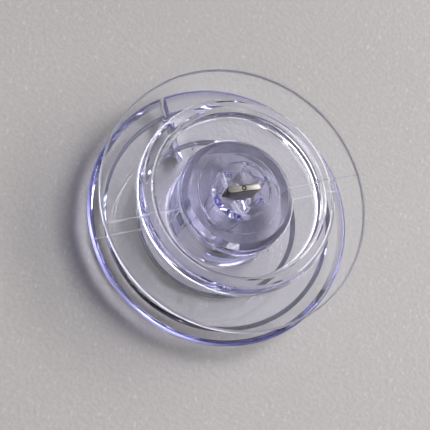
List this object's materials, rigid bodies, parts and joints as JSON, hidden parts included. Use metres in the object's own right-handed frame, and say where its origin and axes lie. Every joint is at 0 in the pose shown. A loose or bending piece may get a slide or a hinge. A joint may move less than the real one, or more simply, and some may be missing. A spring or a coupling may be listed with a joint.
{
  "type": "sewing machine bobbin",
  "caption": "Clear plastic sewing machine bobbin with a wide flange on each side, a raised ring, a slotted lower flange and a hub with a star socket holding a small metal blade.",
  "frame": {"origin": "on the bobbin's axis, at the level of the flat face it stands on", "axes": "+Z along the axis, from the slotted flange up to the hub's stub; +X across the flange"},
  "size_m": [0.0222, 0.0222, 0.009],
  "materials": {
    "clear_plastic": "clear moulded, blue-violet tint in the thick parts",
    "plated_metal": "nickel plated, warm, slightly dull"
  },
  "bodies": {
    "root": {"bobbin": "clear_plastic", "drive_blade": "plated_metal"}
  },
  "joints": []
}
